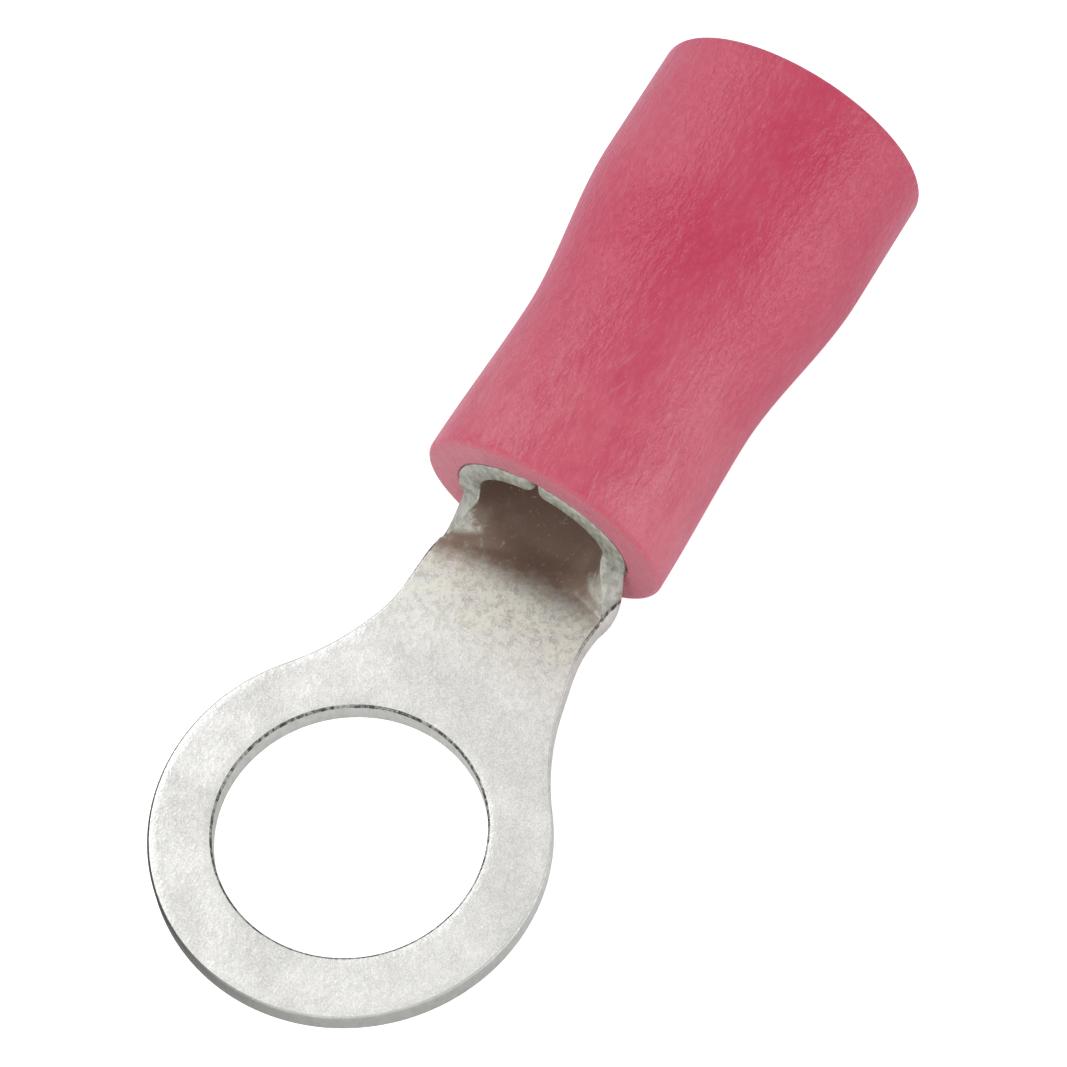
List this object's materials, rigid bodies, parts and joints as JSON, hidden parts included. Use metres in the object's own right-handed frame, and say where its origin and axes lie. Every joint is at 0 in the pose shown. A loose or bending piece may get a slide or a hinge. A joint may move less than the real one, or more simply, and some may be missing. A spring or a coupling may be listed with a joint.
{
  "type": "insulated ring terminal",
  "caption": "Insulated ring terminal: a flat stud ring on a neck that curls up into a rolled crimp barrel, inside a soft sleeve that flares towards the wire.",
  "frame": {"origin": "centre of the stud hole, on the underside of the tongue", "axes": "+X runs from the ring towards the wire end; +Z is the stud axis and the side with the barrel seam; +Y completes the right-handed frame across the tongue"},
  "size_m": [0.0212, 0.0078, 0.0068],
  "materials": {
    "tinned_metal": "satin tin plating",
    "sleeve_vinyl": "satin vinyl"
  },
  "bodies": {
    "root": {"terminal": "tinned_metal", "insulating_sleeve": "sleeve_vinyl"}
  },
  "joints": []
}
